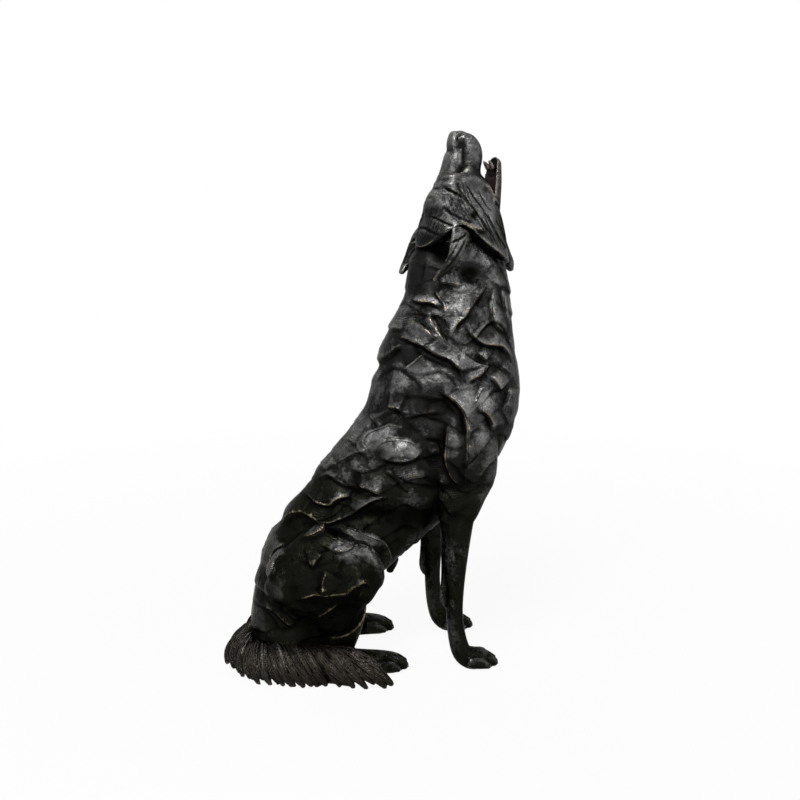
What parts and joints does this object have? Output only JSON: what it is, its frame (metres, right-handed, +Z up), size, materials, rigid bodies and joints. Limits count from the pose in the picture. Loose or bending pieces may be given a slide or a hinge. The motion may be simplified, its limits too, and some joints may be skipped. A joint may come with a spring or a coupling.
{
  "type": "wolf figurine",
  "caption": "Cast bronze figurine of a seated wolf that howls with its muzzle raised, its fur built up in overlapping plates.",
  "frame": {"origin": "centre of the bounding box, on the floor that the wolf sits on", "axes": "+X the way the wolf faces, +Y its left side, +Z up towards its nose"},
  "size_m": [0.2272, 0.1266, 0.4009],
  "materials": {
    "bronze": "near-black patina, waxed to a satin gloss, rubbed brown along the edges"
  },
  "bodies": {
    "root": {"wolf": "bronze"}
  },
  "joints": []
}
